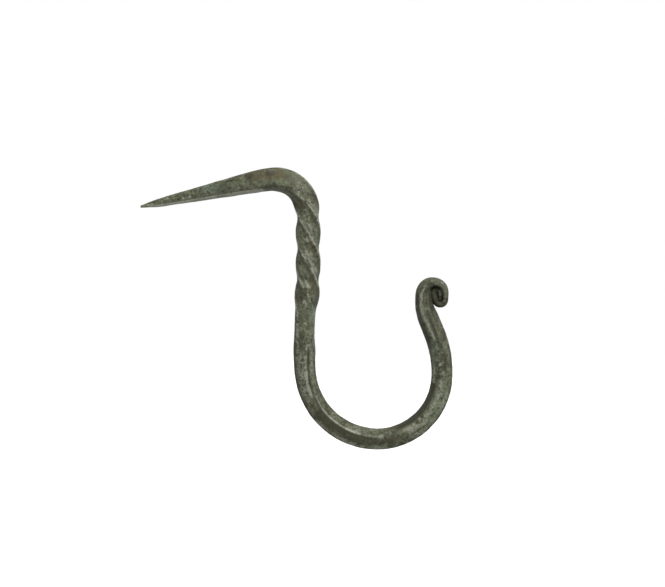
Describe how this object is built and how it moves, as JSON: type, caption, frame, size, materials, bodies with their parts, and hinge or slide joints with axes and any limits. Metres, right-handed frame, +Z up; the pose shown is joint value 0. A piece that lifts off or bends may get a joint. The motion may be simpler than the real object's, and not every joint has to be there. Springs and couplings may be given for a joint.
{
  "type": "cup hook",
  "caption": "Forged wall hook of square bar: a drive-in spike, a bend down into a twisted neck, a plain shank, and a round open hook that ends in a small rolled curl.",
  "frame": {"origin": "root of the spike, on its centreline, where the straight taper meets the bend", "axes": "+X out from the wall, along the reach of the hook; +Z up; +Y across the bar. The spike's point lies toward -X, 12.3 degrees below level"},
  "size_m": [0.0894, 0.0074, 0.0807],
  "materials": {
    "iron": "dark satin forged surface, slightly pitted, with pale worn ridges and brown and green patches"
  },
  "bodies": {
    "root": {"hook": "iron"}
  },
  "joints": []
}
